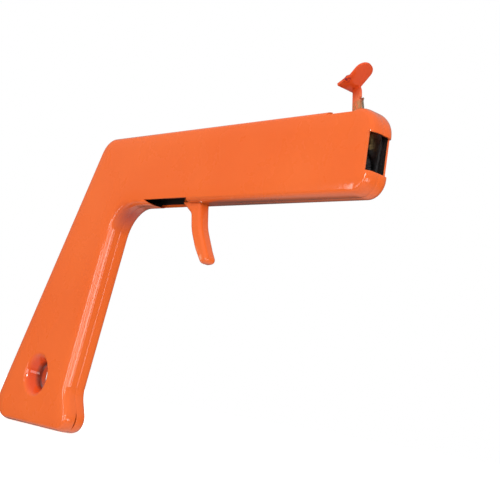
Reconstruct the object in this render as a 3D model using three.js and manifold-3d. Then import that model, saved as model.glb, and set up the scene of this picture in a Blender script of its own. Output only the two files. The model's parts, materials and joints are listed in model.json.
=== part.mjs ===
// Pistol-shaped flint spark lighter, in millimetres.
//
// Working frame: X = 0 is the muzzle and the barrel runs towards -X, Y = 0 is the near side panel
// and Y = BODY.width the far one, Z = 0 is just above the underside of the barrel. At the end every
// mesh is shifted by ORIGIN_SHIFT, which puts the part's origin level with the handle's flat base,
// halfway along the whole length and halfway through the width, +X towards the muzzle and +Z up.
import * as THREE from "three";
import { mergeVertices } from "three/addons/utils/BufferGeometryUtils.js";
import Module from "manifold-3d";

const wasm = await Module();
wasm.setup();

// ---------------------------------------------------------------- driving dimensions

const BODY = {
  barrelTop: 28.4,
  barrelLow: -0.4,
  width: 10.5,
  sheet: 0.8,
  edgeRadius: 1.7,
  seamGap: 0.3,
  baseZ: -94.5,
};
const ORIGIN_SHIFT = [100, -BODY.width / 2, -BODY.baseZ];
const MID_Y = BODY.width / 2;

// Corners of the body's side outline, anticlockwise: [x, z, corner radius].
const OUTLINE = [
  [1.9, BODY.barrelLow, 6.4],
  [-0.2, BODY.barrelTop, 8.6],
  [-153.6, BODY.barrelTop, 9.4],
  [-207.1, BODY.baseZ, 8.8],
  [-139.7, BODY.baseZ, 6.2],
  [-148, -78, 9],
  [-136.2, BODY.barrelLow, 14],
];

const HANG_HOLE = { x: -172.7, z: -73.3, rimRadius: 9.7, radius: 5.3 };
const MOUTH = { low: 7.2, high: 19.7, lowX: -0.7, highX: -1.5 };
const TOP_SLOT = { rear: -22.2, front: -9.5, depth: 1.45 };
const LEVER_OPENING = { x: [-25.1, -8.3], y: [3.05, 8.75], low: 26.9 };
const TRIGGER_SLOT = { rear: -118.2, front: -90.6, depth: 1.3, rearSlant: 3.2 };
const FINGER_OPENING = { x: [-91, -83.5], y: [2.7, 7.8] };

const FRAME = { nearY: [1.1, 1.9], farY: [8.7, 9.4] };
const SHAFT_ENDS = [1.1, 9.4];

const TRIGGER = {
  pivot: [-90, 21.5],
  pinRadius: 1.5,
  hubRadius: 4,
  bladeY: [4.6, 6.4],
  fingerY: [3, 7.5],
};
const LINK = { radius: 1.2, arm: 12, restAngle: (13.6 * Math.PI) / 180 };

const GEAR = { module: 0.45, teeth: 12, y: [2.9, 4.3], backlash: 0.24 };
const PITCH = Math.PI * GEAR.module;
const PITCH_RADIUS = (GEAR.module * GEAR.teeth) / 2;

const WHEEL = { x: -10.5, z: 9.5, radius: 6, y: [4.7, 7.3], teeth: 36, axleRadius: 1.5 };
const FLINT = { y: 6, radius: 1.2, length: 4.8, clearance: 0.2 };
const HOLDER = { outer: 1.75, inner: 1.4, low: 17.3, high: 25.2 };

const LEVER = {
  pivot: [-28, 20],
  pinRadius: 1.3,
  y: [7, 8.2],
  padY: [0.8, 8.2],
};

const RUNNING = 0.08; // radial clearance of a shaft in its hole
const ROUND = 24; // sides of a round piece

// ---------------------------------------------------------------- solids

function solid(geometry) {
  const plain = new THREE.BufferGeometry();
  const source = geometry.index ? geometry.toNonIndexed() : geometry;
  plain.setAttribute("position", source.getAttribute("position"));
  const merged = mergeVertices(plain, 1e-4);
  const mesh = new wasm.Mesh({
    numProp: 3,
    vertProperties: merged.attributes.position.array,
    triVerts: new Uint32Array(merged.index.array),
  });
  return new wasm.Manifold(mesh);
}

// The same, for a surface whose winding depends on the way its path or profile runs.
function solidEitherWay(geometry) {
  const made = solid(geometry);
  if (made.volume() > 0) return made;
  const flat = geometry.index ? geometry.toNonIndexed() : geometry.clone();
  const p = flat.getAttribute("position").array;
  for (let i = 0; i < p.length; i += 9) {
    for (let k = 0; k < 3; k++) [p[i + k], p[i + 3 + k]] = [p[i + 3 + k], p[i + k]];
  }
  return solid(flat);
}

function geometryOf(manifold) {
  const mesh = manifold.getMesh();
  const position = new Float32Array(mesh.numVert * 3);
  for (let i = 0; i < mesh.numVert; i++) {
    for (let k = 0; k < 3; k++) position[3 * i + k] = mesh.vertProperties[i * mesh.numProp + k];
  }
  const geometry = new THREE.BufferGeometry();
  geometry.setAttribute("position", new THREE.BufferAttribute(position, 3));
  geometry.setIndex(new THREE.BufferAttribute(new Uint32Array(mesh.triVerts), 1));
  return geometry;
}

const join = (first, ...others) => others.reduce((sum, next) => sum.add(next), first);
const cut = (first, ...others) => others.reduce((rest, next) => rest.subtract(next), first);

function box([x0, x1], [y0, y1], [z0, z1]) {
  const geometry = new THREE.BoxGeometry(x1 - x0, y1 - y0, z1 - z0);
  geometry.translate((x0 + x1) / 2, (y0 + y1) / 2, (z0 + z1) / 2);
  return solid(geometry);
}

// A round bar along Y.
function rod(x, z, radius, [y0, y1], sides = ROUND) {
  const geometry = new THREE.CylinderGeometry(radius, radius, y1 - y0, sides);
  geometry.translate(x, (y0 + y1) / 2, z);
  return solid(geometry);
}

// A profile of [radius, height] points turned about the line along Y through (x, z).
function turned(x, z, profile, sides = ROUND) {
  const points = profile.map(([r, y]) => new THREE.Vector2(r, y));
  const geometry = new THREE.LatheGeometry(points, sides);
  geometry.translate(x, 0, z);
  return solidEitherWay(geometry);
}

// The same about a line along Z through (x, y).
function turnedUpright(x, y, profile, sides = ROUND) {
  const points = profile.map(([r, z]) => new THREE.Vector2(r, z));
  const geometry = new THREE.LatheGeometry(points, sides);
  geometry.rotateX(Math.PI / 2);
  geometry.translate(x, y, 0);
  return solidEitherWay(geometry);
}

const ring = (inner, outer, low, high) => [
  [inner, low],
  [outer, low],
  [outer, high],
  [inner, high],
  [inner, low],
];

// A Shape whose corners [x, z, radius] are rounded with true arcs.
function outlineShape(corners) {
  const shape = new THREE.Shape();
  const n = corners.length;
  corners.forEach(([x, z, radius = 0], i) => {
    const corner = new THREE.Vector2(x, z);
    const before = new THREE.Vector2(...corners[(i + n - 1) % n]).sub(corner).normalize();
    const after = new THREE.Vector2(...corners[(i + 1) % n]).sub(corner).normalize();
    const move = (p) => (i === 0 ? shape.moveTo(p.x, p.y) : shape.lineTo(p.x, p.y));
    if (!radius) {
      move(corner);
      return;
    }
    const half = Math.acos(THREE.MathUtils.clamp(before.dot(after), -1, 1)) / 2;
    const reach = radius / Math.tan(half);
    const start = corner.clone().addScaledVector(before, reach);
    const end = corner.clone().addScaledVector(after, reach);
    const inward = before.clone().add(after).normalize();
    const centre = corner.clone().addScaledVector(inward, radius / Math.sin(half));
    const from = start.clone().sub(centre).angle();
    const to = end.clone().sub(centre).angle();
    const clockwise = before.cross(after) > 0;
    move(start);
    shape.absarc(centre.x, centre.y, radius, from, to, clockwise);
  });
  shape.closePath();
  return shape;
}

// The outline moved inwards by a distance, with each corner radius changed to stay concentric.
function insetOutline(corners, distance) {
  const n = corners.length;
  const edges = corners.map(([x, z], i) => {
    const [x2, z2] = corners[(i + 1) % n];
    const along = new THREE.Vector2(x2 - x, z2 - z).normalize();
    const inward = new THREE.Vector2(-along.y, along.x);
    return { at: new THREE.Vector2(x, z).addScaledVector(inward, distance), along };
  });
  return corners.map(([, , radius = 0], i) => {
    const last = edges[(i + n - 1) % n];
    const next = edges[i];
    const turn = last.along.cross(next.along);
    const gap = next.at.clone().sub(last.at);
    const t = gap.cross(next.along) / turn;
    const corner = last.at.clone().addScaledVector(last.along, t);
    const moved = turn > 0 ? radius - distance : radius + distance;
    return [corner.x, corner.y, radius ? Math.max(moved, 0.3) : 0];
  });
}

// An outline in X and Z made solid between two Y levels, with its two rims rounded if asked.
function slab(corners, [y0, y1], rim = 0, curveSegments = 8) {
  const geometry = new THREE.ExtrudeGeometry(outlineShape(corners), {
    depth: y1 - y0 - 2 * rim,
    curveSegments,
    bevelEnabled: rim > 0,
    bevelThickness: rim,
    bevelSize: rim,
    bevelOffset: -rim,
    bevelSegments: 4,
  });
  geometry.rotateX(Math.PI / 2);
  geometry.translate(0, y1 - rim, 0);
  return solid(geometry);
}

// Round wire that follows a list of points.
function wire(points, radius, steps) {
  const path = new THREE.CatmullRomCurve3(points.map((p) => new THREE.Vector3(...p)), false, "centripetal");
  const section = new THREE.Shape().absarc(0, 0, radius, 0, 2 * Math.PI);
  const geometry = new THREE.ExtrudeGeometry(section, {
    steps,
    curveSegments: 4,
    bevelEnabled: false,
    extrudePath: path,
  });
  return solidEitherWay(geometry);
}

// Points of a coil about a line along Y, from one angle for a number of turns.
function coilAlongY([x, z], radius, [y0, y1], startAngle, turns) {
  const count = Math.ceil(Math.abs(turns) * 12);
  return Array.from({ length: count + 1 }, (_, i) => {
    const a = startAngle + (i / count) * turns * 2 * Math.PI;
    return [x + radius * Math.cos(a), y0 + ((y1 - y0) * i) / count, z + radius * Math.sin(a)];
  });
}

// ---------------------------------------------------------------- body halves

const EVERYWHERE = [-300, 300];

function dimple(fromY, towardsY) {
  const { x, z, rimRadius, radius } = HANG_HOLE;
  const sign = Math.sign(towardsY - fromY);
  const depth = Math.abs(towardsY - fromY);
  const steps = 8;
  const face = [];
  const back = [];
  for (let i = 0; i <= steps; i++) {
    const t = i / steps;
    const r = rimRadius + (radius - rimRadius) * t;
    const down = depth * (1 - Math.cos((Math.PI / 2) * t));
    const slope = (depth * Math.PI * 0.5 * Math.sin((Math.PI / 2) * t)) / (rimRadius - radius);
    const length = Math.hypot(slope, 1);
    face.push([r, fromY + sign * down]);
    back.push([r + (BODY.sheet * slope) / length, fromY + sign * (down + BODY.sheet / length)]);
  }
  const lip = 0.2;
  const rim = [
    [rimRadius + lip, fromY + sign * BODY.sheet],
    [rimRadius + lip, fromY],
  ];
  return turned(x, z, [...face, ...back.reverse(), ...rim, face[0]], 32);
}

function bodyHalf([y0, y1], fromY, towardsY) {
  const inner = [BODY.sheet, BODY.width - BODY.sheet];
  const shell = cut(
    slab(OUTLINE, [0, BODY.width], BODY.edgeRadius),
    slab(insetOutline(OUTLINE, BODY.sheet), inner, BODY.edgeRadius - BODY.sheet),
  );
  const top = BODY.barrelTop - TOP_SLOT.depth;
  const mouth = [
    [MOUTH.lowX, MOUTH.low],
    [9, MOUTH.low],
    [9, MOUTH.high],
    [MOUTH.highX, MOUTH.high],
  ];
  const triggerSlot = [
    [TRIGGER_SLOT.rear, TRIGGER_SLOT.depth],
    [TRIGGER_SLOT.rear + TRIGGER_SLOT.rearSlant, BODY.barrelLow],
    [TRIGGER_SLOT.rear + TRIGGER_SLOT.rearSlant, -5],
    [TRIGGER_SLOT.front, -5],
    [TRIGGER_SLOT.front, TRIGGER_SLOT.depth],
  ];
  const panel = fromY < towardsY ? [fromY - 1, fromY + 2] : [fromY - 2, fromY + 1];
  const opened = cut(
    shell,
    rod(HANG_HOLE.x, HANG_HOLE.z, HANG_HOLE.rimRadius, panel, 32),
    slab(mouth, EVERYWHERE),
    box([TOP_SLOT.rear, TOP_SLOT.front], EVERYWHERE, [top, top + 5]),
    box(LEVER_OPENING.x, LEVER_OPENING.y, [LEVER_OPENING.low, top + 5]),
    slab(triggerSlot, [-5, BODY.width - 0.95]),
    box(FINGER_OPENING.x, FINGER_OPENING.y, [-5, TRIGGER_SLOT.depth]),
  );
  return join(opened, dimple(fromY, towardsY)).intersect(box(EVERYWHERE, [y0, y1], EVERYWHERE));
}

const seam = [MID_Y - BODY.seamGap / 2, MID_Y + BODY.seamGap / 2];
const nearHalf = bodyHalf([-10, seam[0]], 0, seam[0]);
const farHalf = bodyHalf([seam[1], 30], BODY.width, seam[1]);

// Backing strips inside the seam, one on each long side.
const STRIP = { outer: 1.1, inner: 1.9, halfWidth: 2.4 };
const stripY = [MID_Y - STRIP.halfWidth, MID_Y + STRIP.halfWidth];
const stripLoop = cut(
  slab(insetOutline(OUTLINE, STRIP.outer), stripY),
  slab(insetOutline(OUTLINE, STRIP.inner), [stripY[0] - 1, stripY[1] + 1]),
);
const strip = (xs, zs) => stripLoop.intersect(box(xs, [-10, 30], zs));

// ---------------------------------------------------------------- mechanism frame

const POSTS = {
  frame_post_rear: [-106, 21, 2],
  frame_post_middle: [-60, 20.5, 2],
  frame_post_front: [-38, 13, 2],
  rack_guide_post: [-24, 2.6, 0.8],
};
const POST_TENON = 0.75; // tenon radius as a share of the post's own radius

const FRAME_OUTLINE = [
  [-3.5, 1.6, 2],
  [-3.5, 22, 3],
  [-8, 25, 3],
  [-110, 25, 3],
  [-110, 11, 3],
  [-82, 11, 3],
  [-78, 6, 3],
  [-32, 6, 3],
  [-28, 1.6, 2],
];
const FRAME_WINDOWS = [
  [-79, -65],
  [-55, -43],
];

function framePlate(ys) {
  const through = [ys[0] - 1, ys[1] + 1];
  const window = ([x0, x1]) =>
    slab(
      [
        [x0, 10, 2],
        [x1, 10, 2],
        [x1, 19, 2],
        [x0, 19, 2],
      ],
      through,
      0,
      4,
    );
  const holes = [
    rod(...TRIGGER.pivot, TRIGGER.pinRadius + RUNNING, through),
    rod(WHEEL.x, WHEEL.z, WHEEL.axleRadius + RUNNING, through),
    rod(...LEVER.pivot, LEVER.pinRadius + RUNNING, through),
    ...Object.values(POSTS).map(([x, z, r]) => rod(x, z, r * POST_TENON + RUNNING, through)),
  ];
  return cut(slab(FRAME_OUTLINE, ys, 0, 4), ...FRAME_WINDOWS.map(window), ...holes);
}

function post([x, z, radius]) {
  const clear = 0.2;
  const body = rod(x, z, radius, [FRAME.nearY[1] + clear, FRAME.farY[0] - clear]);
  return join(body, rod(x, z, radius * POST_TENON, [FRAME.nearY[0], FRAME.farY[1]]));
}

// ---------------------------------------------------------------- trigger and rack

const [pivotX, pivotZ] = TRIGGER.pivot;
const linkX = pivotX + LINK.arm * Math.sin(LINK.restAngle);
const linkZ = pivotZ - LINK.arm * Math.cos(LINK.restAngle);

const BLADE = [
  [-94, 21.5],
  [-95, 9, 6],
  [-97.2, 1.2, 1],
  [-94, -1.5],
  [-85.6, -1.5],
  [-84.5, 5, 4],
  [-84.7, 12, 6],
  [-86, 21.5],
];
const FINGER = [
  [-97.6, 1, 0.8],
  [-89.8, -4.2, 3],
  [-87.9, -10.6, 20],
  [-83.4, -17.8, 20],
  [-78.7, -22.6, 2.4],
  [-73.8, -22, 1.7],
  [-77, -17.6, 20],
  [-82.4, -9, 20],
  [-84.2, -2, 6],
  [-84.8, 1, 0.8],
];

function trigger() {
  const through = [TRIGGER.bladeY[0] - 1, TRIGGER.bladeY[1] + 1];
  const blade = join(
    slab(BLADE, TRIGGER.bladeY, 0, 4),
    rod(pivotX, pivotZ, TRIGGER.hubRadius, TRIGGER.bladeY),
    slab(FINGER, TRIGGER.fingerY, 0.6, 5),
  );
  return cut(
    blade,
    rod(pivotX, pivotZ, TRIGGER.pinRadius + RUNNING, through),
    rod(linkX, linkZ, LINK.radius + RUNNING, through),
  );
}

// Coil around the trigger's pin, one leg back to the rear post and one down behind the blade.
function triggerSpring() {
  const coil = coilAlongY(TRIGGER.pivot, 2.5, [6.9, 8.25], -Math.PI / 2, -1.5);
  const [rearX, rearZ] = POSTS.frame_post_rear;
  const postLeg = [
    [rearX - 0.5, 6.9, rearZ - 2.6],
    [-98, 6.9, pivotZ - 2.6],
  ];
  const bladeLeg = [
    [-92.5, 8.25, pivotZ + 1.9],
    [-96.2, 8.25, 15],
    [-96.5, 8.1, 12],
    [-96.6, 7.2, 10.8],
    [-96.6, 6, 10.4],
    [-96.6, 4.8, 10.4],
  ];
  return wire([...postLeg, ...coil, ...bladeLeg], 0.3, 90);
}

function rack() {
  const low = 3.7;
  const pitchZ = WHEEL.z - PITCH_RADIUS;
  const tip = pitchZ + GEAR.module - 0.05;
  const root = pitchZ - 1.2 * GEAR.module;
  const thick = PITCH / 4 - GEAR.backlash / 2;
  const front = WHEEL.x + 7;
  const eye = { rear: linkX - 2.9, front: linkX + 2.9, high: 13.2 };
  const line = [
    [eye.rear, low + 1.4, 1],
    [eye.rear + 1.6, low],
    [front, low],
    [front, root],
  ];
  for (let i = 4; i >= -2; i--) {
    const x = WHEEL.x + (i - 0.5) * PITCH;
    const tipHalf = thick - GEAR.module * Math.tan(0.35);
    const rootHalf = thick + GEAR.module * Math.tan(0.35);
    line.push([x + rootHalf, root], [x + tipHalf, tip], [x - tipHalf, tip], [x - rootHalf, root]);
  }
  line.push([-20, root], [eye.front + 3, root, 2], [eye.front, root + 3, 2]);
  line.push([eye.front, eye.high, 2], [eye.rear, eye.high, 2]);
  const through = [GEAR.y[0] - 1, GEAR.y[1] + 1];
  const half = LINK.radius + 0.1;
  const slot = slab(
    [
      [linkX - half, linkZ - LINK.radius - 0.6, 1.2],
      [linkX + half, linkZ - LINK.radius - 0.6, 1.2],
      [linkX + half, linkZ + LINK.radius + 0.3, 1.2],
      [linkX - half, linkZ + LINK.radius + 0.3, 1.2],
    ],
    through,
    0,
    4,
  );
  return cut(slab(line, GEAR.y, 0, 4), slot);
}

function toothedOutline(x, z, teeth, profile) {
  const line = [];
  for (let i = 0; i < teeth; i++) {
    const middle = -Math.PI / 2 + (i * 2 * Math.PI) / teeth;
    for (const [radius, turn] of profile) {
      const a = middle + turn;
      line.push([x + radius * Math.cos(a), z + radius * Math.sin(a)]);
    }
  }
  return line;
}

function pinion() {
  const tip = PITCH_RADIUS + GEAR.module;
  const root = PITCH_RADIUS - 1.2 * GEAR.module;
  const half = Math.PI / 2 / GEAR.teeth;
  const profile = [
    [root, -1.45 * half],
    [PITCH_RADIUS, -0.95 * half],
    [tip, -0.4 * half],
    [tip, 0.4 * half],
    [PITCH_RADIUS, 0.95 * half],
    [root, 1.45 * half],
  ];
  const teeth = slab(toothedOutline(WHEEL.x, WHEEL.z, GEAR.teeth, profile), GEAR.y);
  return cut(teeth, rod(WHEEL.x, WHEEL.z, WHEEL.axleRadius + RUNNING, [0, 10]));
}

function sparkWheel() {
  const step = Math.PI / WHEEL.teeth;
  const profile = [
    [WHEEL.radius - 0.45, -step],
    [WHEEL.radius, 0.5 * step],
  ];
  const teeth = slab(toothedOutline(WHEEL.x, WHEEL.z, WHEEL.teeth, profile), WHEEL.y);
  const [y0, y1] = WHEEL.y;
  const recess = { depth: 0.5, inner: 2.6, outer: 4.4 };
  return cut(
    teeth,
    rod(WHEEL.x, WHEEL.z, WHEEL.axleRadius + RUNNING, [0, 10]),
    turned(WHEEL.x, WHEEL.z, ring(recess.inner, recess.outer, y0 - 1, y0 + recess.depth)),
    turned(WHEEL.x, WHEEL.z, ring(recess.inner, recess.outer, y1 - recess.depth, y1 + 1)),
  );
}

// Saw-toothed ring on the wheel's near face, driven one way by the pinion.
function ratchetRing() {
  const gap = 0.1;
  const y = [GEAR.y[1] + gap, WHEEL.y[0] - gap];
  const step = Math.PI / 8;
  const profile = [
    [2.1, -step],
    [2.55, 0.8 * step],
  ];
  const ringSolid = slab(toothedOutline(WHEEL.x, WHEEL.z, 8, profile), y);
  return cut(ringSolid, rod(WHEEL.x, WHEEL.z, WHEEL.axleRadius + RUNNING, [0, 10]));
}

const springWasher = () =>
  turned(WHEEL.x, WHEEL.z, [
    [1.65, 2.1],
    [2.5, 2.4],
    [2.5, 2.65],
    [1.65, 2.35],
    [1.65, 2.1],
  ]);

// ---------------------------------------------------------------- flint lever

const ARM = [
  [-28.4, 17.2],
  [-24.5, 18.2],
  [-13.4, 20.6, 1],
  [-13.3, 27.2, 4],
  [-15, 33.6],
  [-15.8, 34.2],
  [-15.3, 34.8],
  [-15.9, 37.2, 1.5],
  [-16.8, 38.7],
  [-19.3, 37.6],
  [-18.9, 36.2, 1.5],
  [-16.7, 25.9, 3],
  [-25.5, 23.2, 3],
  [-28.6, 23.2],
];

// The pad's rear flap keeps the full width; its front tab is narrower past a small shoulder.
const PAD = {
  rear: [-19.9, 36.6],
  fold: [-16.9, 38.2],
  end: [-10.9, 44.1],
  sheet: 0.9,
  tabInset: 0.8,
  shoulder: 1.2,
};

function thumbPad() {
  const { rear, fold, end } = PAD;
  const t = PAD.sheet;
  const normal = (a, b) => {
    const length = Math.hypot(b[0] - a[0], b[1] - a[1]);
    return [-(b[1] - a[1]) / length, (b[0] - a[0]) / length];
  };
  const up = (p, n) => [p[0] + t * n[0], p[1] + t * n[1]];
  const low = normal(rear, fold);
  const high = normal(fold, end);
  const bend = [(low[0] + high[0]) / 2, (low[1] + high[1]) / 2];
  const sheet = slab(
    [rear, [...fold, 2], end, up(end, high), [...up(fold, bend), 1.2], up(rear, low)],
    LEVER.padY,
    0,
    4,
  );
  // The far end of the pad is rounded in the plane of its upper part.
  const [y0, y1] = LEVER.padY;
  const width = y1 - y0;
  const slope = Math.atan2(end[1] - fold[1], end[0] - fold[0]);
  const reach = Math.hypot(end[0] - fold[0], end[1] - fold[1]);
  const { shoulder, tabInset } = PAD;
  const tabRadius = (width - tabInset) / 2;
  const blank = new THREE.Shape();
  blank.moveTo(-9, -width / 2);
  blank.lineTo(shoulder, -width / 2);
  blank.lineTo(shoulder + tabInset, -width / 2 + tabInset);
  blank.lineTo(reach - tabRadius, -width / 2 + tabInset);
  blank.absarc(reach - tabRadius, tabInset / 2, tabRadius, -Math.PI / 2, Math.PI / 2, false);
  blank.lineTo(-9, width / 2);
  blank.closePath();
  const depth = 16;
  const geometry = new THREE.ExtrudeGeometry(blank, { depth, curveSegments: 12, bevelEnabled: false });
  geometry.translate(0, 0, -depth / 2);
  geometry.rotateY(-slope);
  geometry.translate(fold[0], (y0 + y1) / 2, fold[1]);
  return sheet.intersect(solid(geometry));
}

function flintLever() {
  const shelf = box([-13.4, -7.8], [3.4, 8.4], [22.4, 23.6]);
  const plate = join(
    slab(ARM, LEVER.y, 0, 4),
    rod(...LEVER.pivot, 3.2, LEVER.y),
    thumbPad(),
    shelf,
    box([-14.2, -13], LEVER.y, [21, 24]),
  );
  return cut(
    plate,
    rod(...LEVER.pivot, LEVER.pinRadius + RUNNING, [LEVER.y[0] - 1, LEVER.y[1] + 1]),
    turnedUpright(WHEEL.x, FLINT.y, [
      [0, 20],
      [HOLDER.outer + RUNNING, 20],
      [HOLDER.outer + RUNNING, 26],
      [0, 26],
    ]),
  );
}

// Coil around the lever's pin, with a leg that rises in front of the arm and hooks round it.
function leverSpring() {
  const coil = coilAlongY(LEVER.pivot, 2.3, [5, 6.45], Math.PI, -2.25);
  const tail = [
    [-37, 4.9, 17.5],
    [-33, 4.9, 18.6],
  ];
  const leg = [
    [-24, 6.45, 23.2],
    [-14.8, 6.45, 26.6],
    [-13.2, 6.6, 27.6],
    [-12.9, 7.3, 29],
    [-13.3, 7.6, 31],
    [-14.1, 7.6, 33.2],
    [-14.6, 8.2, 34.2],
    [-15.4, 8.75, 34.5],
    [-16.8, 8.75, 34.2],
  ];
  return wire([...tail, ...coil, ...leg], 0.3, 90);
}

const flintLow = WHEEL.z + WHEEL.radius + FLINT.clearance;

const holder = () =>
  turnedUpright(WHEEL.x, FLINT.y, [
    [HOLDER.inner, HOLDER.low],
    [HOLDER.outer, HOLDER.low],
    [HOLDER.outer, 23.7],
    [2.4, 23.7],
    [2.4, 24.3],
    [HOLDER.outer, 24.3],
    [HOLDER.outer, HOLDER.high],
    [HOLDER.inner, HOLDER.high],
    [HOLDER.inner, HOLDER.low],
  ]);

const flint = () =>
  turnedUpright(WHEEL.x, FLINT.y, [
    [0, flintLow],
    [FLINT.radius, flintLow],
    [FLINT.radius, flintLow + FLINT.length],
    [0, flintLow + FLINT.length],
  ]);

const plug = () => {
  const slot = box([WHEEL.x - 2, WHEEL.x + 2], [FLINT.y - 0.25, FLINT.y + 0.25], [26, 27]);
  const body = turnedUpright(WHEEL.x, FLINT.y, [
    [0, 24.1],
    [HOLDER.inner - 0.1, 24.1],
    [HOLDER.inner - 0.1, 25.4],
    [HOLDER.outer, 25.4],
    [HOLDER.outer, 26.5],
    [0, 26.5],
  ]);
  return cut(body, slot);
};

function flintSpring() {
  const low = flintLow + FLINT.length + 0.35;
  const turns = 4;
  const count = turns * 12;
  const rise = (23.8 - low) / count;
  const points = Array.from({ length: count + 1 }, (_, i) => {
    const a = (i / 12) * 2 * Math.PI;
    return [WHEEL.x + 0.95 * Math.cos(a), FLINT.y + 0.95 * Math.sin(a), low + rise * i];
  });
  return wire(points, 0.18, 60);
}

// ---------------------------------------------------------------- assembly

const COLOURS = {
  paint: 0xf0622c,
  steel: 0xa9adb2,
  darkSteel: 0x5c6066,
  brass: 0xc2a05a,
  flint: 0x6d6a66,
};

const PIECES = [
  ["near_half_shell", "paint", nearHalf],
  ["far_half_shell", "paint", farHalf],
  ["seam_strip_top", "steel", strip([-148, -32], [20, 40])],
  ["seam_strip_back", "steel", strip([-210, -152], [-76, 16])],
  ["seam_strip_front", "steel", strip([-152, -130], [-70, -14])],
  ["seam_strip_bottom", "steel", strip([-78, -32], [-5, 5])],
  ["frame_plate_near", "steel", framePlate(FRAME.nearY)],
  ["frame_plate_far", "steel", framePlate(FRAME.farY)],
  ...Object.entries(POSTS).map(([name, where]) => [name, "steel", post(where)]),
  ["trigger", "paint", trigger()],
  ["trigger_pivot_pin", "steel", rod(pivotX, pivotZ, TRIGGER.pinRadius, SHAFT_ENDS)],
  ["trigger_sleeve", "steel", turned(pivotX, pivotZ, ring(1.6, 2.4, 2.1, 4.4))],
  ["trigger_return_spring", "steel", triggerSpring()],
  ["drive_link_pin", "steel", rod(linkX, linkZ, LINK.radius, [2.6, TRIGGER.bladeY[1]])],
  ["drive_rack", "darkSteel", rack()],
  ["wheel_axle", "steel", rod(WHEEL.x, WHEEL.z, WHEEL.axleRadius, SHAFT_ENDS)],
  ["spring_washer", "steel", springWasher()],
  ["drive_pinion", "brass", pinion()],
  ["ratchet_ring", "darkSteel", ratchetRing()],
  ["spark_wheel", "darkSteel", sparkWheel()],
  ["wheel_spacer", "brass", turned(WHEEL.x, WHEEL.z, ring(1.6, 2.4, 7.45, 8.6))],
  ["flint_lever", "paint", flintLever()],
  ["lever_pivot_pin", "steel", rod(...LEVER.pivot, LEVER.pinRadius, SHAFT_ENDS)],
  ["lever_sleeve", "steel", turned(...LEVER.pivot, ring(1.4, 2.2, 2.1, 4.4))],
  ["lever_spring", "steel", leverSpring()],
  ["flint_holder", "brass", holder()],
  ["flint", "flint", flint()],
  ["flint_spring", "steel", flintSpring()],
  ["flint_plug", "brass", plug()],
];

const root = new THREE.Group();
root.name = "flint_spark_lighter";
for (const [name, colour, manifold] of PIECES) {
  const metal = colour !== "paint" && colour !== "flint";
  const material = new THREE.MeshStandardMaterial({
    color: COLOURS[colour],
    roughness: metal ? 0.4 : 0.3,
    metalness: metal ? 0.9 : 0,
  });
  const mesh = new THREE.Mesh(geometryOf(manifold), material);
  mesh.name = name;
  mesh.position.set(...ORIGIN_SHIFT);
  root.add(mesh);
}

export default root;
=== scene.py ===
"""Looks of the flint spark lighter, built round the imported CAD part, in metres in its frame."""

import bmesh
import bpy
import json
import math
from mathutils import Matrix, Vector


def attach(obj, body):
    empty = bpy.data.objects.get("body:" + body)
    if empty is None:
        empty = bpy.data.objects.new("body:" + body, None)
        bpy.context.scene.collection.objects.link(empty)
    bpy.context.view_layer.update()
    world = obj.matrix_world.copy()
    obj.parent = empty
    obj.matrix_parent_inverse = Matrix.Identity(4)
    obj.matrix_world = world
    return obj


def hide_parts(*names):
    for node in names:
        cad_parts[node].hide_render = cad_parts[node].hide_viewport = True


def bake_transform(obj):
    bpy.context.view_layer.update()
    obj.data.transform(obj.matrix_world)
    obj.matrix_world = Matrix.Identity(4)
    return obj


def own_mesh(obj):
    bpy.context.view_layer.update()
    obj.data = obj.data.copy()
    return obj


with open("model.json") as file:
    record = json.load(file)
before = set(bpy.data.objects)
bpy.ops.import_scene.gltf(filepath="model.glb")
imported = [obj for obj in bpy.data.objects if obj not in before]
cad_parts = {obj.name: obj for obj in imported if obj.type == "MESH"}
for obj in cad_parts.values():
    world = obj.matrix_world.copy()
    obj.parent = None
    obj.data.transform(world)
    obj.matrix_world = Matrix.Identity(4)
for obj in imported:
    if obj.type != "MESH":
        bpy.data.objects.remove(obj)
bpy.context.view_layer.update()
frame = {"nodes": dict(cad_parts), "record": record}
nodes = frame["nodes"]
MM = 0.001


# ---------------------------------------------------------------- material nodes


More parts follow.
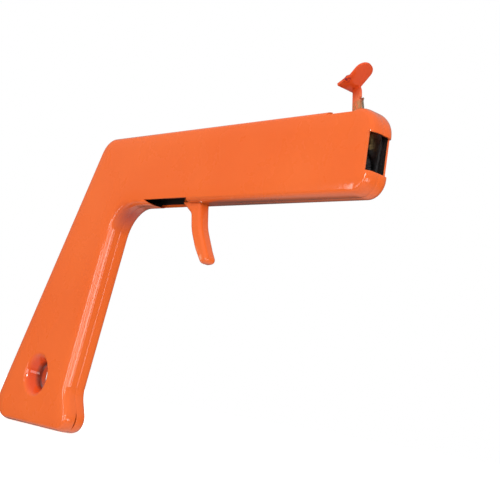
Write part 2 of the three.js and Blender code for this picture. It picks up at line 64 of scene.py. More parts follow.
class Graph:
    """A material's node tree, with short calls for the nodes that the finishes share."""

    def __init__(self, name):
        self.material = bpy.data.materials.new(name)
        self.material.use_nodes = True
        self.tree = self.material.node_tree
        self.shader = self.tree.nodes["Principled BSDF"]
        self.place = self.tree.nodes.new("ShaderNodeTexCoord").outputs["Object"]

    def node(self, kind, inputs, **settings):
        made = self.tree.nodes.new(kind)
        for key, value in settings.items():
            setattr(made, key, value)
        for key, value in inputs.items():
            self.set(made.inputs[key], value)
        return made

    def set(self, socket, value):
        if isinstance(value, bpy.types.NodeSocket):
            self.tree.links.new(value, socket)
        else:
            socket.default_value = value

    def noise(self, scale, detail=3.0, rough=0.5, stretch=None, distortion=0.0):
        place = self.place
        if stretch:
            place = self.node("ShaderNodeMapping", {"Vector": place, "Scale": stretch}).outputs[0]
        inputs = {
            "Vector": place,
            "Scale": scale,
            "Detail": detail,
            "Roughness": rough,
            "Distortion": distortion,
        }
        return self.node("ShaderNodeTexNoise", inputs).outputs["Fac"]

    def ramp(self, value, low, high, to_low=0.0, to_high=1.0):
        inputs = {
            "Value": value,
            "From Min": low,
            "From Max": high,
            "To Min": to_low,
            "To Max": to_high,
        }
        return self.node("ShaderNodeMapRange", inputs).outputs["Result"]

    def mix(self, amount, first, second):
        made = self.tree.nodes.new("ShaderNodeMix")
        made.data_type = "RGBA"
        self.set(made.inputs[0], amount)
        for socket, colour in ((made.inputs[6], first), (made.inputs[7], second)):
            if isinstance(colour, (tuple, list)):
                colour = (*colour, 1.0)
            self.set(socket, colour)
        return made.outputs[2]

    def math(self, operation, first, second=0.0):
        made = self.tree.nodes.new("ShaderNodeMath")
        made.operation = operation
        self.set(made.inputs[0], first)
        self.set(made.inputs[1], second)
        return made.outputs[0]

    def bump(self, height, distance, strength=1.0, under=None):
        inputs = {"Height": height, "Distance": distance, "Strength": strength}
        if under is not None:
            inputs["Normal"] = under
        return self.node("ShaderNodeBump", inputs).outputs["Normal"]

    def near(self, point, core, reach):
        """1 within core metres of a point of the part, falling to 0 at reach."""
        span = self.node("ShaderNodeVectorMath", {0: self.place, 1: point}, operation="DISTANCE")
        return self.ramp(span.outputs["Value"], core, reach, 1.0, 0.0)

    def edges(self, low=0.52, high=0.60):
        """1 on sharp outer edges, broken up by noise, 0 elsewhere."""
        point = self.node("ShaderNodeNewGeometry", {}).outputs["Pointiness"]
        sharp = self.ramp(point, low, high)
        broken = self.ramp(self.noise(900.0, 4.0, 0.6), 0.42, 0.62)
        return self.math("MULTIPLY", sharp, broken)

    def finish(self, colour, roughness, normal, **uniform):
        self.set(self.shader.inputs["Base Color"], colour)
        self.set(self.shader.inputs["Roughness"], roughness)
        self.set(self.shader.inputs["Normal"], normal)
        for key, value in uniform.items():
            self.shader.inputs[key.replace("_", " ")].default_value = value
        return self.material


def enamel(name, colour, shade, wear, waves=0.00003, coat=0.85, patches=()):
    """Sprayed gloss enamel over pressed steel: shallow waves in the sheet, slight orange peel,
    drifting colour and thin wear on edges. Each patch gives a mask and the colour under it."""
    g = Graph(name)
    drift = g.ramp(g.noise(22.0, 2.0), 0.35, 0.65)
    fine = g.ramp(g.noise(240.0, 3.0, 0.5), 0.35, 0.7, 0.0, 0.22)
    tone = g.mix(drift, colour, shade)
    tone = g.mix(fine, tone, tuple(c * 0.92 for c in colour))
    for mask, patch_colour in [p(g) for p in patches]:
        tone = g.mix(mask, tone, patch_colour)
    edge = g.math("MULTIPLY", g.edges(), wear)
    tone = g.mix(edge, tone, (0.62, 0.30, 0.17))
    smudge = g.noise(60.0, 5.0, 0.65, distortion=0.4)
    roughness = g.math("ADD", g.ramp(smudge, 0.35, 0.7, 0.24, 0.34), g.math("MULTIPLY", edge, 0.3))
    wave = g.bump(g.noise(85.0, 1.0, 0.4), waves, 1.0)
    peel = g.bump(g.noise(650.0, 2.0, 0.4), 0.00002, 0.35, wave)
    scratch = g.noise(1500.0, 1.0, 0.3, stretch=(0.08, 1.0, 1.0))
    normal = g.bump(scratch, 0.000006, 0.25, peel)
    g.set(g.shader.inputs["Coat Normal"], normal)
    uniform = {"Coat_Weight": coat, "Coat_Roughness": 0.07, "IOR": 1.5, "Specular_IOR_Level": 0.12}
    return g.finish(tone, roughness, normal, **uniform)


def near_black_inside(name):
    """Inner face of the pressings: unpainted steel with a little overspray, its near-black colour painted
    shade for the inside of the body.
    """
    g = Graph(name)
    haze = g.ramp(g.noise(120.0, 4.0, 0.6), 0.45, 0.75, 0.0, 0.5)
    tone = g.mix(haze, (0.022, 0.019, 0.018), (0.05, 0.02, 0.012))
    grain = g.noise(900.0, 3.0, 0.6)
    normal = g.bump(grain, 0.00002, 0.5)
    return g.finish(tone, g.ramp(grain, 0.3, 0.7, 0.5, 0.7), normal, Specular_IOR_Level=0.3)


def wear_and_painted_light_spot(g, point, core, reach):
    """A spot round a point, with a broken border: worn paint, and also the spots of painted shade and painted
    highlights listed with it.
    """
    spot = g.near(point, core, reach)
    return g.math("MULTIPLY", spot, g.ramp(g.noise(900.0, 4.0, 0.6), 0.42, 0.55))


def metal(name, colour, shade, rough, grain=(1.0, 1.0, 1.0)):
    """Worked metal: grain along its stretched axis, tarnish in patches, bright sharp edges."""
    g = Graph(name)
    tarnish = g.ramp(g.noise(180.0, 5.0, 0.6, distortion=0.3), 0.4, 0.72)
    tone = g.mix(tarnish, colour, shade)
    lines = g.noise(1500.0, 2.0, 0.5, stretch=grain)
    tone = g.mix(g.ramp(lines, 0.35, 0.7, 0.0, 0.4), tone, tuple(c * 0.7 for c in shade))
    edge = g.edges()
    tone = g.mix(edge, tone, tuple(min(1.0, c * 1.25) for c in colour))
    roughness = g.ramp(g.math("ADD", lines, tarnish), 0.4, 1.5, rough[0], rough[1])
    normal = g.bump(lines, 0.00001, 0.5)
    return g.finish(tone, roughness, normal, Metallic=1.0)


def mineral(name, colour, shade):
    """Matt cast spark alloy with pores and pale oxide dust."""
    g = Graph(name)
    dust = g.ramp(g.noise(700.0, 6.0, 0.7), 0.45, 0.7)
    tone = g.mix(dust, colour, shade)
    pores = g.noise(2600.0, 3.0, 0.6)
    normal = g.bump(pores, 0.00005, 0.6)
    return g.finish(tone, g.ramp(dust, 0.0, 1.0, 0.55, 0.8), normal, Metallic=0.6)


ORANGE = (0.87, 0.150, 0.024)
ORANGE_DEEP = (0.83, 0.130, 0.018)
LEVER_ORANGE = (0.76, 0.078, 0.014)
LEVER_ORANGE_DEEP = (0.66, 0.06, 0.01)

# Spots on the paint, in metres: [where, core, reach, colour]. First those with a broken border: wear on the
# lever with one spot of painted shade, and painted highlights on the trigger;
# then the soft ones: painted shade in the handle's hollows, and thinner paint on the lever.
LEVER_WEAR_AND_PAINTED_SHADE = [
    # painted shade: a dark purple spot at the near edge of the lever's fold, for the shade in the bend there
    ((0.0835, -0.0040, 0.1333), 0.0008, 0.0020, (0.20, 0.012, 0.030)),
    ((0.0842, 0.0018, 0.1245), 0.0018, 0.0040, (0.45, 0.16, 0.05)),
    ((0.0862, 0.0024, 0.1265), 0.0010, 0.0028, (0.42, 0.30, 0.13)),
]
TRIGGER_PAINTED_HIGHLIGHTS = [
    # painted highlights: pale spots on the near face at the finger's tip and along its back edge
    ((0.0208, -0.0022, 0.0728), 0.0006, 0.0022, (0.95, 0.45, 0.28)),
    ((0.0178, -0.0022, 0.0762), 0.0002, 0.0018, (0.95, 0.40, 0.22)),
]
SHELL_PAINTED_SHADE = [
    # painted shade: dark red-brown in the inner corner under the barrel, for the shade and the colour bounced
    # there
    ((-0.0310, 0.0010, 0.0890), 0.0020, 0.0094, (0.42, 0.036, 0.012)),
    # painted shade in the hang hole's funnel: a deeper red for the colour bounced inside it, then a
    # near-black neck
    ((-0.0727, 0.0, 0.0212), 0.0082, 0.0110, (0.80, 0.078, 0.010)),
    ((-0.0727, 0.0, 0.0212), 0.0056, 0.0066, (0.24, 0.030, 0.012)),
]
LEVER_THIN = [((0.0860, 0.0024, 0.1265), 0.0030, 0.0062, (0.83, 0.17, 0.065))]


def patches_for(spots, mask):
    """Enamel patches for a list of spots; mask is Graph.near for soft ones and the broken-border spot for the
    others.
    """

    def one(where, core, reach, colour):
        return lambda g: (mask(g, where, core, reach), colour)

    return [one(*spot) for spot in spots]


FINISHES = {
    "shell_paint": enamel(
        "shell_enamel",
        ORANGE,
        ORANGE_DEEP,
        wear=0.12,
        waves=0.00005,
        # painted shade in the handle's inner corner and in the hang hole's funnel
        patches=patches_for(SHELL_PAINTED_SHADE, Graph.near),
    ),
    "trigger_paint": enamel(
        # painted highlights on the trigger's finger tip
        "trigger_enamel", ORANGE, ORANGE_DEEP, wear=0.15, patches=patches_for(TRIGGER_PAINTED_HIGHLIGHTS, wear_and_painted_light_spot)
    ),
    "lever_paint": enamel(
        "lever_enamel",
        LEVER_ORANGE,
        LEVER_ORANGE_DEEP,
        wear=0.15,
        coat=0.4,
        # the lever's spots of wear include one of painted shade at its fold
        patches=patches_for(LEVER_THIN, Graph.near) + patches_for(LEVER_WEAR_AND_PAINTED_SHADE, wear_and_painted_light_spot),
    ),
    "strip_steel": metal("strip_steel", (0.32, 0.32, 0.33), (0.2, 0.19, 0.18), (0.35, 0.5)),
    "frame_steel": metal("frame_steel", (0.5, 0.5, 0.51), (0.36, 0.34, 0.32), (0.3, 0.45), (0.1, 1, 1)),
    "pin_steel": metal("pin_steel", (0.62, 0.62, 0.63), (0.45, 0.44, 0.42), (0.18, 0.35), (1, 0.1, 1)),
    "spring_steel": metal("spring_steel", (0.58, 0.45, 0.33), (0.36, 0.22, 0.13), (0.22, 0.4)),
    "tool_steel": metal("tool_steel", (0.2, 0.2, 0.21), (0.12, 0.11, 0.11), (0.32, 0.5), (1, 0.2, 1)),
    "gear_brass": metal("gear_brass", (0.72, 0.5, 0.22), (0.42, 0.27, 0.12), (0.22, 0.42), (1, 0.2, 1)),
    "flint_alloy": mineral("flint_alloy", (0.18, 0.17, 0.165), (0.34, 0.31, 0.28)),
}

# near-black painted shade on the shells' inner faces, seen through the openings
SHELL_INSIDE_SHADE = near_black_inside("shell_inside_shade")

slot_of = {entry["node"]: entry["material_slot"] for entry in frame["record"]["subparts"]}


def smooth(mesh):
    mesh.shade_smooth()
    mesh.set_sharp_from_angle(angle=math.radians(32))


for name, node in nodes.items():
    node.data.materials.clear()
    node.data.materials.append(FINISHES[slot_of[name]])
    smooth(node.data)


# ---------------------------------------------------------------- pieces that stand for CAD nodes


def body_of(name):
    return next(b for b, members in frame["record"]["behaviour"]["bodies"].items() if name in members)


def stand_for(name, mesh, piece_name, second=None, ride=True):
    """Puts a mesh in metres in the place of a CAD node, on its body and in its finish. A second
    material is for the faces numbered 1."""
    while len(mesh.materials) < 1 + bool(second):
        mesh.materials.append(None)
    mesh.materials[0] = FINISHES[slot_of[name]]
    if second:
        mesh.materials[1] = second
    smooth(mesh)
    piece = bpy.data.objects.new(piece_name, mesh)
    bpy.context.scene.collection.objects.link(piece)
    if ride:
        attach(piece, body_of(name))
    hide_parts(name)
    return piece


def temporary(name, mesh):
    made = bpy.data.objects.new(name, mesh)
    bpy.context.scene.collection.objects.link(made)
    return made


def applied(made):
    """The object's mesh with its modifiers applied; the object itself goes."""
    graph = bpy.context.evaluated_depsgraph_get()
    mesh = bpy.data.meshes.new_from_object(made.evaluated_get(graph))
    bpy.data.objects.remove(made)
    return mesh


def softened(mesh, width, angle=40):
    """The mesh, in millimetres, with its hard edges rounded over."""
    made = temporary("softened", mesh)
    bevel = made.modifiers.new("edges", "BEVEL")
    bevel.width = width
    bevel.segments = 2
    bevel.limit_method = "ANGLE"
    bevel.angle_limit = math.radians(angle)
    bevel.harden_normals = False
    return applied(made)


def rounded(corners, inset=0.0, arc_steps=12):
    """Points of an outline of [x, z, radius] corners moved inwards, with its corners as arcs."""
    n = len(corners)
    points = [Vector(c[:2]) for c in corners]
    along = [(points[(i + 1) % n] - points[i]).normalized() for i in range(n)]
    inward = [Vector((-a.y, a.x)) for a in along]
    centre_side = sum(
        points[i].x * points[(i + 1) % n].y - points[(i + 1) % n].x * points[i].y for i in range(n)
    )
    side = 1.0 if centre_side > 0 else -1.0
    line = []
    for i in range(n):
        before, after = along[i - 1], along[i]
        turn = before.x * after.y - before.y * after.x
        a = points[i] + inward[i - 1] * inset * side
        b = points[i] + inward[i] * inset * side
        gap = b - a
        corner = a + before * ((gap.x * after.y - gap.y * after.x) / turn)
        convex = turn * side > 0
        radius = max(corners[i][2] + (-inset if convex else inset), 0.05)
        half = (math.pi - before.angle(after)) / 2
        reach = radius / math.tan(half)
        start = corner - before * reach
        middle = corner + (after - before).normalized() * (radius / math.sin(half))
        sweep = before.angle_signed(after)
        spoke = start - middle
        for k in range(arc_steps + 1):
            angle = -sweep * k / arc_steps
            c, s = math.cos(angle), math.sin(angle)
            line.append(middle + Vector((spoke.x * c - spoke.y * s, spoke.x * s + spoke.y * c)))
    return line


BARREL_LOW = 94.1
BARREL_TOP = 122.9

# Side outline of the body in millimetres, as in the CAD: [x, z, corner radius].
OUTLINE = [
    (101.9, BARREL_LOW, 6.4),
    (99.8, BARREL_TOP, 8.6),
    (-53.6, BARREL_TOP, 9.4),
    (-107.1, 0, 8.8),
    (-39.7, 0, 6.2),
    (-48, 16.5, 9),
    (-36.2, BARREL_LOW, 14),
]
HALF_WIDTH = 5.25
SHEET = 0.8
HANG_HOLE = {"x": -72.7, "z": 21.2, "radius": 5.3, "rim": 9.8}
SEAM_HALF = 0.005
RIM_RADIUS = 1.7
SHOULDER = {"slope": math.radians(9), "reach": 6.5, "crown": 0.1}
FLANGE = {"start": math.radians(66), "radius": 5.0}
TOE_GAP = {"at": Vector((-41.3, 4.4)), "reach": 5.8, "half": 0.36}


def rim_profile(depth_of_sheet):
    """[inset, distance from the panel] from the seam to the flat of the panel: a gently rolled
    flange, the tight bend of the rim and the soft shoulder of the panel."""
    slope, start = SHOULDER["slope"], FLANGE["start"]
    rim, flange = RIM_RADIUS, FLANGE["radius"]
    foot_of_rim = flange * (1 - math.sin(start)) + rim * (math.sin(start) - math.sin(slope))
    drop = math.tan(slope) * (SHOULDER["reach"] - foot_of_rim) / 2
    shoulder_y = drop - SHOULDER["crown"]
    bend_y = shoulder_y + rim * (math.cos(slope) - math.cos(start))
    flat_y = bend_y + flange * math.cos(start)
    seam = HALF_WIDTH - SEAM_HALF
    lip = 0.01
    line = []
    if depth_of_sheet:
        line.append((depth_of_sheet, seam))
    else:
        line += [(lip, seam), (lip * 0.3, seam - lip * 0.3), (0.0, seam - lip)]
    line.append((depth_of_sheet, (seam + flat_y) / 2))
    d = depth_of_sheet

    def arc(radius, centre, first, last, steps):
        for k in range(steps + 1):
            a = first + (last - first) * k / steps
            line.append((centre[0] - (radius - d) * math.sin(a), centre[1] - (radius - d) * math.cos(a)))

    arc(flange, (flange, flat_y), math.pi / 2, start, 5)
    centre = (flange - (flange - rim) * math.sin(start), bend_y + rim * math.cos(start))
    arc(rim, centre, start, slope, 7)
    last = line[-1][0]
    for k in range(1, 9):
        at = last + (SHOULDER["reach"] - last) * k / 8
        share = 1 - (at - last) / (SHOULDER["reach"] - last)
        line.append((at, d - SHOULDER["crown"] + drop * share * share))
    line.append((SHOULDER["reach"] + 0.4, d - SHOULDER["crown"]))
    return line


def funnel_profile(depth_of_sheet):
    """[radius, distance from the panel] of the funnel round the hang hole, from its rim inwards."""
    radius, rim = HANG_HOLE["radius"] + depth_of_sheet, HANG_HOLE["rim"] + depth_of_sheet * 0.3
    high, low = depth_of_sheet - SHOULDER["crown"], HALF_WIDTH - SEAM_HALF
    line = [(rim + 0.5, high), (rim + 0.1, high)]
    steps = 16
    for k in range(1, steps + 1):
        t = k / steps
        line.append((rim + (radius - rim) * t, high + (low - high) * (1 - math.cos(math.pi / 2 * t))))
    return line


def bridge(bm, a, b, material=0):
    """Faces between two rings that have as many vertices as each other."""
    for i in range(len(a)):
        j = (i + 1) % len(a)
        bm.faces.new((a[i], a[j], b[j], b[i])).material_index = material


def mesh_from(bm, name):
    """A new mesh with the bmesh's faces turned outwards; the bmesh itself goes."""
    bmesh.ops.recalc_face_normals(bm, faces=bm.faces)
    mesh = bpy.data.meshes.new(name)
    bm.to_mesh(mesh)
    bm.free()
    return mesh


def ring_points(x, z, radius, sides):
    """Points [x, z] evenly round a circle."""
    turns = [2 * math.pi * k / sides for k in range(sides)]
    return [(x + radius * math.cos(a), z + radius * math.sin(a)) for a in turns]


def half_shell(side):
    """One pressed half of the body, in millimetres, as a closed sheet; side is -1 near, 1 far."""
    bm = bmesh.new()
    circle = 72

    def loop(points):
        return [bm.verts.new(p) for p in points]

    def beside_seam(p, y):
        """Y of an outline point, held clear of the seam where the toe's seam stands open."""
        away = (p - TOE_GAP["at"]).length / TOE_GAP["reach"]
        gap = TOE_GAP["half"] * max(0.0, 1 - away * away)
        return side * max(HALF_WIDTH - y, gap * (1 - 0.5 * min(1.0, (HALF_WIDTH - y) / 1.2)))

    def skin(depth):
        inside = 1 if depth else 0
        rings = []
        for inset, y in rim_profile(depth):
            line = rounded(OUTLINE, inset)
            rings.append(loop([(p.x, beside_seam(p, y), p.y) for p in line]))
        holes = []
        for radius, y in funnel_profile(depth):
            at = ring_points(HANG_HOLE["x"], HANG_HOLE["z"], radius, circle)
            holes.append(loop([(x, side * (HALF_WIDTH - y), z) for x, z in at]))
        for group in (rings, holes):
            for a, b in zip(group, group[1:]):
                bridge(bm, a, b, inside)
        border = []
        for ring in (rings[-1], holes[0]):
            border += [bm.edges.get((ring[i - 1], ring[i])) for i in range(len(ring))]
        filled = bmesh.ops.triangle_fill(bm, edges=border, use_beauty=True, use_dissolve=False)
        for made in filled["geom"]:
            if isinstance(made, bmesh.types.BMFace):
                made.material_index = inside
        return rings[0], holes[-1]

    outer, inner = skin(0.0), skin(SHEET)
    for a, b in zip(outer, inner):
        bridge(bm, a, b)
    mesh = mesh_from(bm, "half_shell")
    mesh.materials.append(FINISHES["shell_paint"])
    mesh.materials.append(SHELL_INSIDE_SHADE)
    return mesh


def prism(corners, low, high):
    """A solid in millimetres: a polygon of [x, z] corners between two Y levels."""
    bm = bmesh.new()
    near = [bm.verts.new((x, low, z)) for x, z in corners]
    far = [bm.verts.new((x, high, z)) for x, z in corners]
    bm.faces.new(near)
    bm.faces.new(far[::-1])
    for i in range(len(corners)):
        j = (i + 1) % len(corners)
        bm.faces.new((near[i], far[i], far[j], near[j]))
    return mesh_from(bm, "cutter")


ACROSS = (-12, 12)
SLOT_TOP = 95.8
FAR_RIM = 4.3


def rectangle(x, z):
    """Corners of an upright rectangle between two X and two Z levels."""
    return [(x[0], z[0]), (x[1], z[0]), (x[1], z[1]), (x[0], z[1])]


# Openings in the shell, in millimetres: [corners in X and Z, (from Y, to Y)]. The far rim stays
# whole beside the trigger slot.
OPENINGS = {
    "mouth": ([(99.3, 101.7), (112, 101.7), (112, 114.2), (98.5, 114.2)], ACROSS),
    "top_slot": (rectangle((77.8, 90.5), (121.45, 128)), ACROSS),
    "trigger_slot": (
        [(-18.2, SLOT_TOP), (-15, BARREL_LOW), (-15, 90), (9.4, 90), (9.4, SLOT_TOP)],
        (ACROSS[0], FAR_RIM),
    ),
    "finger_opening": (rectangle((9, 16.5), (90, SLOT_TOP)), (-2.55, 2.55)),
    "lever_opening": (rectangle((74.9, 91.7), (121.4, 128)), (-2.2, 3.5)),
}


def finished_half(side):
    made = temporary("half", half_shell(side))
    cutters = [temporary("cutter", prism(corners, *limits)) for corners, limits in OPENINGS.values()]
    for cutter in cutters:
        cut = made.modifiers.new("cut", "BOOLEAN")
        cut.operation = "DIFFERENCE"
        cut.solver = "EXACT"
        cut.object = cutter
    mesh = applied(made)
    for cutter in cutters:
        bpy.data.objects.remove(cutter)
    mesh = softened(mesh, 0.14, 50)
    mesh.transform(Matrix.Scale(MM, 4))
    return mesh


stand_for("near_half_shell", finished_half(-1), "near_pressed_half", SHELL_INSIDE_SHADE)
stand_for("far_half_shell", finished_half(1), "far_pressed_half", SHELL_INSIDE_SHADE)


# Trigger outlines in millimetres. The finger is slightly fuller and longer than in the CAD.
FINGER = [
    (2.4, 95.5, 0.8),
    (10.2, 90.3, 3),
    (12.1, 83.9, 18),
    (16.6, 76.7, 18),
    (21.4, 71.3, 2.4),
    (26.7, 71.9, 1.7),
    (23, 76.9, 18),
    (17.6, 85.5, 18),
    (15.8, 92.5, 6),
    (15.2, 95.5, 0.8),
]
BLADE = [
    (6, 116, 0.4),
    (5, 103.5, 6),
    (2.8, 95.7, 1),
    (6, 93, 0.4),
    (14.4, 93, 0.4),
    (15.5, 99.5, 4),
    (15.3, 106.5, 6),
    (14, 116, 0.4),
]


def pillow(corners, low, high, rim, depth, steps):
    """A solid between two Y levels whose rims roll over by rim along the face and depth in Y."""
    bm = bmesh.new()
    profile = []
    for k in range(steps + 1):
        a = math.pi / 2 * k / steps
        profile.append((rim * (1 - math.sin(a)), low + depth * (1 - math.cos(a))))
    profile += [(inset, low + high - y) for inset, y in reversed(profile)]
    rings = []
    for inset, y in profile:
        rings.append([bm.verts.new((p.x, y, p.y)) for p in rounded(corners, inset, 8)])
    for a, b in zip(rings, rings[1:]):
        bridge(bm, a, b)
    for ring in (rings[0], rings[-1]):
        border = [bm.edges.get((ring[i - 1], ring[i])) for i in range(len(ring))]
        bmesh.ops.triangle_fill(bm, edges=border, use_beauty=True, use_dissolve=False)
    return mesh_from(bm, "pillow")


def combined(mesh, others, operation):
    made = temporary("combined", mesh)
    tools = [temporary("tool", other) for other in others]
    for tool in tools:
        step = made.modifiers.new("step", "BOOLEAN")
        step.operation = operation
        step.solver = "EXACT"
        step.object = tool
    result = applied(made)
    for tool in tools:
        bpy.data.objects.remove(tool)
    return result


def disc(x, z, radius, low, high):
    return prism(ring_points(x, z, radius, 48), low, high)


TRIGGER_PIVOT = Vector((10, 116))
LINK_ARM = 12
LINK_ANGLE = math.radians(13.6)
LINK_PIVOT = TRIGGER_PIVOT + LINK_ARM * Vector((math.sin(LINK_ANGLE), -math.cos(LINK_ANGLE)))
BLADE_Y = (-0.65, 1.15)
FINGER_Y = (-2.4, 2.4)
HUB_RADIUS = 4
BORE_Y = (-9, 9)


def trigger_mesh():
    blade = softened(pillow(BLADE, *BLADE_Y, rim=0.12, depth=0.12, steps=2), 0.05, 60)
    hub = disc(*TRIGGER_PIVOT, HUB_RADIUS, *BLADE_Y)
    finger = pillow(FINGER, *FINGER_Y, rim=1.4, depth=1.6, steps=9)
    whole = combined(finger, [blade, hub], "UNION")
    bores = [disc(*TRIGGER_PIVOT, 1.58, *BORE_Y), disc(*LINK_PIVOT, 1.28, *BORE_Y)]
    whole = combined(whole, bores, "DIFFERENCE")
    whole.transform(Matrix.Scale(MM, 4))
    return whole


stand_for("trigger", trigger_mesh(), "squeeze_trigger")


def soft_copy(name, width):
    """The CAD node's own shape with its hard edges rounded over, as a worked piece has them."""
    bm = bmesh.new()
    bm.from_mesh(nodes[name].data)
    bmesh.ops.scale(bm, vec=(1000, 1000, 1000), verts=bm.verts)
    bmesh.ops.remove_doubles(bm, verts=bm.verts, dist=0.0005)
    bmesh.ops.dissolve_limit(bm, angle_limit=math.radians(1.5), verts=bm.verts, edges=bm.edges)
    mesh = bpy.data.meshes.new(name)
    bm.to_mesh(mesh)
    bm.free()
    mesh = softened(mesh, width)
    mesh.transform(Matrix.Scale(MM, 4))
    return stand_for(name, mesh, name + "_finished")


SOFTENED = {
    "flint_lever": 0.2,
    "frame_plate_near": 0.1,
    "frame_plate_far": 0.1,
    "drive_rack": 0.06,
    "drive_pinion": 0.05,
    "ratchet_ring": 0.05,
    "spark_wheel": 0.06,
    "flint_holder": 0.08,
    "flint_plug": 0.12,
    "flint": 0.12,
    "trigger_pivot_pin": 0.15,
    "lever_pivot_pin": 0.15,
    "wheel_axle": 0.15,
    "drive_link_pin": 0.12,
    "trigger_sleeve": 0.08,
    "lever_sleeve": 0.08,
    "wheel_spacer": 0.08,
    "frame_post_rear": 0.1,
    "frame_post_middle": 0.1,
    "frame_post_front": 0.1,
    "rack_guide_post": 0.08,
    "spring_washer": 0.05,
    "seam_strip_top": 0.12,
    "seam_strip_back": 0.12,
    "seam_strip_front": 0.12,
    "seam_strip_bottom": 0.12,
}
for piece_name, edge_width in SOFTENED.items():
    soft_copy(piece_name, edge_width)


def smooth_path(points, per_span=6):
    """A centripetal curve through the points, as close-set points."""
    ends = [points[0] * 2 - points[1], *points, points[-1] * 2 - points[-2]]
    line = []
    for i in range(1, len(ends) - 2):
        p = ends[i - 1 : i + 3]
        t = [0.0]
        for a, b in zip(p, p[1:]):
            t.append(t[-1] + max((b - a).length, 1e-6) ** 0.5)
        for k in range(per_span):
            at = t[1] + (t[2] - t[1]) * k / per_span
            level = p
            for n in (1, 2, 3):
                level = [
                    level[j] + (level[j + 1] - level[j]) * ((at - t[j]) / (t[j + n] - t[j]))
                    for j in range(4 - n)
                ]
            line.append(level[0])
    return [*line, points[-1]]


def tube(points, radius, sides=14):
    """Round wire along a list of points in millimetres, with rounded ends; a mesh in metres."""
    line = smooth_path([Vector(p) for p in points])
    bm = bmesh.new()
    forward = (line[1] - line[0]).normalized()
    across = forward.orthogonal().normalized()
    rings = []
    last = len(line) - 1
    for i, point in enumerate(line):
        tangent = (line[min(i + 1, last)] - line[max(i - 1, 0)]).normalized()
        across = forward.rotation_difference(tangent) @ across
        forward = tangent
        side = forward.cross(across)

        def ring(centre, r):
            turns = [2 * math.pi * k / sides for k in range(sides)]
            return [bm.verts.new(centre + (across * math.cos(a) + side * math.sin(a)) * r) for a in turns]

        rounding = [(0.35, 0.55), (0.8, 0.2)]
        if i == 0:
            rings += [ring(point - forward * radius * back, radius * r) for r, back in rounding]
        rings.append(ring(point, radius))
        if i == last:
            rings += [ring(point + forward * radius * on, radius * r) for r, on in reversed(rounding)]
    for a, b in zip(rings, rings[1:]):
        bridge(bm, a, b)
    bm.faces.new(rings[0])
    bm.faces.new(rings[-1][::-1])
    mesh = mesh_from(bm, "tube")
    mesh.transform(Matrix.Scale(MM, 4))
    return mesh


def coil_round_y(x, z, radius, low, high, start, turns):
    count = math.ceil(abs(turns) * 16)
    line = []
    for i in range(count + 1):
        a = start + turns * 2 * math.pi * i / count
        line.append((x + radius * math.cos(a), low + (high - low) * i / count, z + radius * math.sin(a)))
    return line


# Spring wires in millimetres, along the same paths as in the CAD.
TRIGGER_SPRING = [
    (-6.5, 1.65, 112.9),
    (2, 1.65, 113.4),
    *coil_round_y(*TRIGGER_PIVOT, 2.5, 1.65, 3.0, -math.pi / 2, -1.5),
    (7.5, 3.0, 117.9),
    (3.8, 3.0, 109.5),
    (3.5, 2.85, 106.5),
    (3.4, 1.95, 105.3),
    (3.4, 0.75, 104.9),
    (3.4, -0.45, 104.9),
]
LEVER_SPRING = [
    (63, -0.35, 112),
    (67, -0.35, 113.1),
    *coil_round_y(72, 114.5, 2.3, -0.25, 1.2, math.pi, -2.25),
    (76, 1.2, 117.7),
    (85.2, 1.2, 121.1),
    (86.8, 1.35, 122.1),
    (87.1, 2.05, 123.5),
    (86.7, 2.35, 125.5),
    (85.9, 2.35, 127.7),
    (85.4, 2.95, 128.7),
    (84.6, 3.5, 129),
    (83.2, 3.5, 128.7),
]
FLINT_COIL = [
    (89.5 + 0.95 * math.cos(i * math.pi / 8), 0.75 + 0.95 * math.sin(i * math.pi / 8), 115.35 + 2.95 * i / 64)
    for i in range(65)
]

trigger_spring = stand_for(
    "trigger_return_spring", tube(TRIGGER_SPRING, 0.3), "trigger_spring_wire", ride=False
)
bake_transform(trigger_spring)
lever_spring = stand_for("lever_spring", tube(LEVER_SPRING, 0.3), "lever_spring_wire", ride=False)
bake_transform(lever_spring)
flint_coil = stand_for("flint_spring", tube(FLINT_COIL, 0.18, 12), "flint_spring_wire")
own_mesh(flint_coil)


# ---------------------------------------------------------------- floor, light and camera


def stage_floor():
    mesh = bpy.data.meshes.new("studio_floor")
    half = 6.0
    corners = [(-half, -half, 0), (half, -half, 0), (half, half, 0), (-half, half, 0)]
    mesh.from_pydata(corners, [], [(0, 1, 2, 3)])
    floor = bpy.data.objects.new("studio_floor", mesh)
    floor.location.z = -0.0002
    bpy.context.scene.collection.objects.link(floor)
    g = Graph("floor_paper")
    tone = g.mix(g.noise(3.0, 2.0), (0.93, 0.93, 0.93), (0.90, 0.90, 0.90))
    normal = g.bump(g.noise(900.0, 3.0), 0.00005, 0.2)
    g.shader.inputs["Emission Color"].default_value = (1.0, 1.0, 1.0, 1.0)
    g.shader.inputs["Emission Strength"].default_value = 0.6
    mesh.materials.append(g.finish(tone, 0.9, normal))
    # Light thrown up by the floor stays off the part, whose underside is in shade.
    floor.visible_diffuse = False
    floor.visible_glossy = False


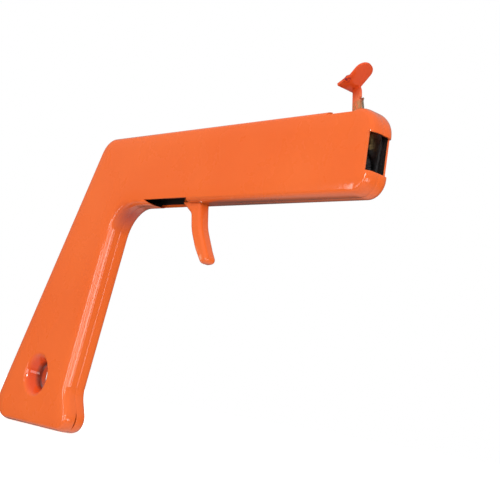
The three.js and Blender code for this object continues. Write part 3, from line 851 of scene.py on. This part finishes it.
def world_light(diffuse, gloss):
    """White backdrop for the camera. The part is lit by a sky that is stronger overhead and towards
    the muzzle, and mirrors one that is dark round the horizon and pale underfoot. diffuse is the
    strength below and above; gloss is the strength underfoot, at the horizon and overhead."""
    world = bpy.data.worlds.new("studio")
    bpy.context.scene.world = world
    world.use_nodes = True
    tree = world.node_tree

    def node(kind, **settings):
        made = tree.nodes.new(kind)
        for key, value in settings.items():
            setattr(made, key, value)
        return made

    def spread(value, limits, ends):
        ramp = node("ShaderNodeMapRange")
        tree.links.new(value, ramp.inputs["Value"])
        for key, number in zip(("From Min", "From Max", "To Min", "To Max"), (*limits, *ends)):
            ramp.inputs[key].default_value = number
        return ramp.outputs["Result"]

    def calc(operation, first, second):
        made = node("ShaderNodeMath", operation=operation)
        for socket, value in zip(made.inputs, (first, second)):
            if isinstance(value, float):
                socket.default_value = value
            else:
                tree.links.new(value, socket)
        return made.outputs[0]

    split = node("ShaderNodeSeparateXYZ")
    tree.links.new(node("ShaderNodeTexCoord").outputs["Generated"], split.inputs[0])
    height = split.outputs["Z"]
    forward = calc("SUBTRACT", split.outputs["X"], split.outputs["Y"])
    side = spread(forward, (-1.2, 1.0), (0.62, 1.12))
    lit = calc("MULTIPLY", spread(height, (-0.3, 0.6), diffuse), side)
    foot, horizon, over = gloss
    mirrored = calc(
        "ADD",
        spread(height, (-0.75, -0.3), (foot - horizon, 0.0)),
        spread(height, (0.0, 0.8), (horizon, over)),
    )
    path = node("ShaderNodeLightPath")
    choose = node("ShaderNodeMix", data_type="FLOAT")
    tree.links.new(path.outputs["Is Glossy Ray"], choose.inputs[0])
    tree.links.new(lit, choose.inputs[2])
    tree.links.new(mirrored, choose.inputs[3])
    seen = calc("MAXIMUM", choose.outputs[0], path.outputs["Is Camera Ray"])
    background = tree.nodes["Background"]
    background.inputs["Color"].default_value = (1.0, 1.0, 1.0, 1.0)
    tree.links.new(seen, background.inputs["Strength"])


def heading(azimuth, elevation):
    """Direction at an azimuth from the near side towards the muzzle, and an elevation, in degrees."""
    a, e = math.radians(azimuth), math.radians(elevation)
    return (math.sin(a) * math.cos(e), -math.cos(a) * math.cos(e), math.sin(e))


def softbox(name, towards, distance, size, radiance, aim=(0.02, 0.0, 0.08), diffuse=True, shine=True):
    light = bpy.data.lights.new(name, "AREA")
    light.shape = "RECTANGLE"
    light.size, light.size_y = size
    light.energy = radiance * math.pi * size[0] * size[1]
    lamp = bpy.data.objects.new(name, light)
    lamp.visible_diffuse = diffuse
    lamp.visible_glossy = shine
    bpy.context.scene.collection.objects.link(lamp)
    direction = Vector(towards).normalized()
    lamp.location = Vector(aim) + direction * distance
    lamp.rotation_euler = direction.to_track_quat("Z", "Y").to_euler()


def main_camera():
    data = bpy.data.cameras.new("camera")
    data.sensor_width = 36.0
    data.lens = 79.41
    data.shift_x = -0.023
    data.shift_y = 0.17
    data.clip_start, data.clip_end = 0.01, 30.0
    camera = bpy.data.objects.new("camera", data)
    bpy.context.scene.collection.objects.link(camera)
    right = Vector((0.653025, 0.735374, 0.181061))
    up = Vector((-0.063265, -0.185271, 0.980649))
    back = Vector((0.754689, -0.651843, -0.074463))
    turn = Matrix((right, up, back)).transposed()
    camera.matrix_world = Matrix.Translation((0.34068, -0.24227, 0.02002)) @ turn.to_4x4()
    bpy.context.scene.camera = camera


stage_floor()
world_light(diffuse=(0.84, 0.9), gloss=(0.75, 0.08, 0.5))
softbox("key", heading(-18, 32), 1.5, (1.1, 0.8), 2.5, aim=(-0.05, 0.0, 0.03), shine=False)
softbox("front_fill", heading(104, 5), 1.3, (0.5, 0.9), 2.1, shine=False)
softbox("right", heading(55, 10), 1.3, (0.35, 0.8), 3.3, shine=False)
softbox("spot", heading(20, 7), 1.3, (0.24, 0.26), 30.0, diffuse=False)

# Low panes that only show as streaks down the handle's front, which faces slightly downwards:
# [azimuth, elevation, width, radiance].
PANES = [
    (-40, -3, 0.10, 7.0),
    (-24, -6, 0.35, 3.5),
    (12, -9, 0.8, 5.0),
    (55, -15, 0.7, 4.0),
    (84, -17, 0.45, 7.0),
    (104, -17, 0.2, 4.0),
]
for count, (azimuth, elevation, width, radiance) in enumerate(PANES):
    towards = heading(azimuth, elevation)
    softbox(f"pane_{count}", towards, 1.5, (width, 0.4), radiance, diffuse=False)
main_camera()
bpy.context.scene.view_settings.view_transform = "Standard"
bpy.context.scene.view_settings.look = "None"
